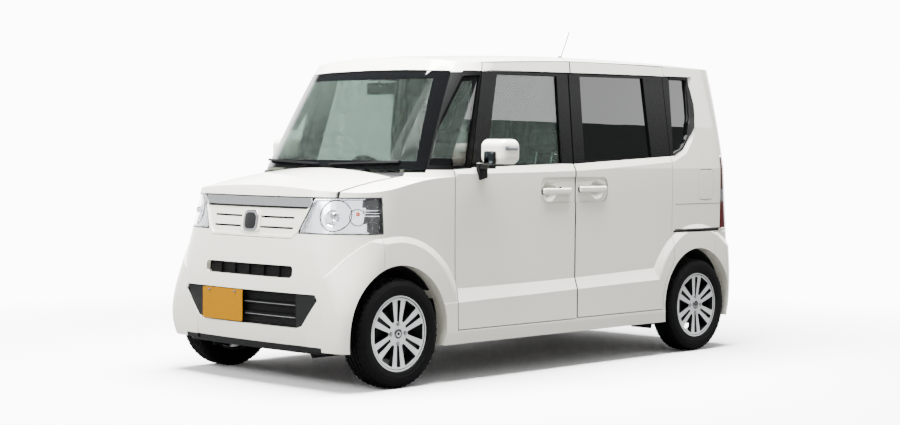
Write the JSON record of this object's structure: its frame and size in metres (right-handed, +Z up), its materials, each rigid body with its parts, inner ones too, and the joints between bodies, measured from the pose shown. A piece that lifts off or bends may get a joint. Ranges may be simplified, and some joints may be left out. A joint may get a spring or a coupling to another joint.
{
  "type": "tall kei car with sliding rear doors",
  "caption": "Tall box-shaped kei car with hinged front doors, sliding rear doors, a lifting tailgate and bonnet, steered front wheels and alloy wheels.",
  "frame": {"origin": "on the ground under the middle of the car", "axes": "+X to the car's left, -Y to its front, +Z up"},
  "size_m": [1.88, 3.3915, 1.9443],
  "materials": {
    "white_paint": "pearl white paint",
    "black_plastic": "moulded black",
    "dark_trim": "grained trim",
    "steel": "bare steel",
    "cast": "black coated",
    "aluminium": "cast, lacquered",
    "clear_glass": "green tinted",
    "privacy_glass": "dark tinted",
    "lamp_clear": "clear lens",
    "lamp_red": "red lens",
    "chrome": "plated",
    "plate_yellow": "yellow enamel",
    "tyre": "black rubber",
    "seat_fabric": "woven seat cloth"
  },
  "bodies": {
    "body": {"aerial": "black_plastic", "bumper_grilles": "black_plastic", "dashboard": "dark_trim", "engine_block": "cast", "exhaust": "steel", "fixed_side_glass": "privacy_glass", "floor_pan": "steel", "front_bumper": "white_paint", "front_pillars": "black_plastic", "front_seats": "seat_fabric", "front_subframe": "cast", "front_wings": "white_paint", "fuel_tank": "black_plastic", "grille": "chrome", "headlamp_lenses": "lamp_clear", "headlamps": "chrome", "interior_mirror": "black_plastic", "number_plate": "plate_yellow", "rear_axle_beam": "cast", "rear_bumper": "white_paint", "rear_seats": "seat_fabric", "roof_panel": "white_paint", "scuttle_firewall": "black_plastic", "side_frame_left": "white_paint", "side_frame_right": "white_paint", "sliding_door_left": "white_paint", "sliding_door_right": "white_paint", "tail_lamps": "lamp_red", "under_lip": "black_plastic", "wheel_houses": "black_plastic", "windscreen": "clear_glass", "wipers": "black_plastic"},
    "bonnet": {"bonnet": "white_paint"},
    "tailgate": {"tailgate": "white_paint", "tailgate_glass": "privacy_glass"},
    "front_door_left": {"front_door_left": "white_paint", "front_glass_left": "clear_glass", "mirror_left": "white_paint"},
    "front_door_right": {"front_door_right": "white_paint", "front_glass_right": "clear_glass", "mirror_right": "white_paint"},
    "knuckle_left": {"knuckle_front_left": "cast"},
    "knuckle_right": {"knuckle_front_right": "cast"},
    "steering_wheel": {"steering_wheel": "black_plastic"},
    "wheel_front_left": {"tyre_front_left": "tyre", "rim_front_left": "aluminium"},
    "wheel_front_right": {"tyre_front_right": "tyre", "rim_front_right": "aluminium"},
    "wheel_rear_left": {"tyre_rear_left": "tyre", "rim_rear_left": "aluminium"},
    "wheel_rear_right": {"tyre_rear_right": "tyre", "rim_rear_right": "aluminium"},
    "fuel_lid": {"fuel_lid": "white_paint"}
  },
  "joints": [
    {"name": "steer_left", "type": "hinge", "parent": "body", "child": "knuckle_left", "pos_m": [0.5825, -1.2845, 0.2785], "axis": [-0.2079, 0, 0.9781], "range_deg": [-34, 34]},
    {"name": "steer_right", "type": "hinge", "parent": "body", "child": "knuckle_right", "pos_m": [-0.5825, -1.2845, 0.2785], "axis": [0.2079, 0, 0.9781], "range_deg": [-34, 34]},
    {"name": "steering_column", "type": "hinge", "parent": "body", "child": "steering_wheel", "pos_m": [-0.32, -0.5, 1.01], "axis": [0, 0.8988, 0.4384], "range_deg": [-544, 544]},
    {"name": "spin_front_left", "type": "hinge", "parent": "knuckle_left", "child": "wheel_front_left", "pos_m": [0.6525, -1.2845, 0.2785], "axis": [1, 0, 0], "continuous": true},
    {"name": "spin_front_right", "type": "hinge", "parent": "knuckle_right", "child": "wheel_front_right", "pos_m": [-0.6525, -1.2845, 0.2785], "axis": [1, 0, 0], "continuous": true},
    {"name": "spin_rear_left", "type": "hinge", "parent": "body", "child": "wheel_rear_left", "pos_m": [0.6525, 1.2355, 0.2785], "axis": [1, 0, 0], "continuous": true},
    {"name": "spin_rear_right", "type": "hinge", "parent": "body", "child": "wheel_rear_right", "pos_m": [-0.6525, 1.2355, 0.2785], "axis": [1, 0, 0], "continuous": true},
    {"name": "bonnet_hinge", "type": "hinge", "parent": "body", "child": "bonnet", "pos_m": [0, -1.1775, 1.104], "axis": [-1, 0, 0], "range_deg": [0, 50]},
    {"name": "tailgate_hinge", "type": "hinge", "parent": "body", "child": "tailgate", "pos_m": [0, 1.535, 1.766], "axis": [1, 0, 0], "range_deg": [0, 84]},
    {"name": "front_door_left_hinge", "type": "hinge", "parent": "body", "child": "front_door_left", "pos_m": [0.7375, -0.871, 0.7], "axis": [0, 0, -1], "range_deg": [0, 66]},
    {"name": "front_door_right_hinge", "type": "hinge", "parent": "body", "child": "front_door_right", "pos_m": [-0.7375, -0.871, 0.7], "axis": [0, 0, 1], "range_deg": [0, 66]},
    {"name": "fuel_lid_hinge", "type": "hinge", "parent": "body", "child": "fuel_lid", "pos_m": [0.7155, 1.2555, 1.011], "axis": [0, 0, -1], "range_deg": [0, 90]}
  ],
  "couplings": [
    {"joint": "steer_right", "follows": "steer_left", "ratio": 1},
    {"joint": "steering_column", "follows": "steer_left", "ratio": 16}
  ]
}
